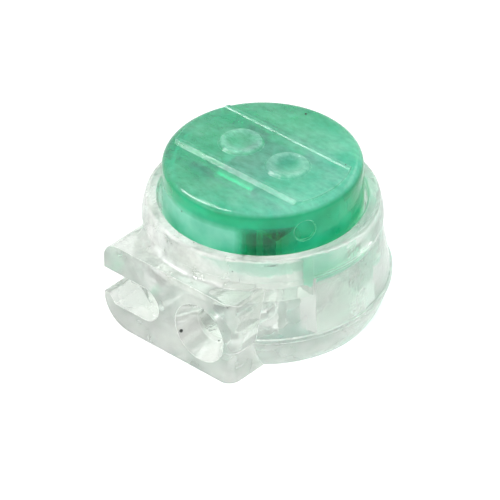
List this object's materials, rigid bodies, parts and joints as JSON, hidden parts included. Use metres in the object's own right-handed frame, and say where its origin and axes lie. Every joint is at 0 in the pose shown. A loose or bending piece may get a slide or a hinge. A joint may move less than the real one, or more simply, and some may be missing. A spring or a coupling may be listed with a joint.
{
  "type": "tap connector",
  "caption": "Press-button tap connector: a clear housing with an open run channel and a blind tap port, and a green cap that drives a forked contact over both wires.",
  "frame": {"origin": "on the cap's axis, on the housing's flat underside", "axes": "+Z the way the cap points, -Y the way the tap port opens, -X the side on which the run channel is open"},
  "size_m": [0.014, 0.0143, 0.0095],
  "materials": {
    "clear_housing": "clear moulded plastic, smooth and slightly cloudy",
    "green_cap": "translucent green moulded plastic, smooth",
    "tinned_contact": "tin plated, satin",
    "sealing_gel": "soft clear gel, slightly cloudy"
  },
  "bodies": {
    "shell": {"housing": "clear_housing", "sealing_gel": "sealing_gel"},
    "button": {"button_cap": "green_cap", "contact": "tinned_contact"}
  },
  "joints": [
    {"name": "cap_press", "type": "slide", "parent": "shell", "child": "button", "axis": [0, 0, -1], "range_m": [0, 0.0023]}
  ]
}
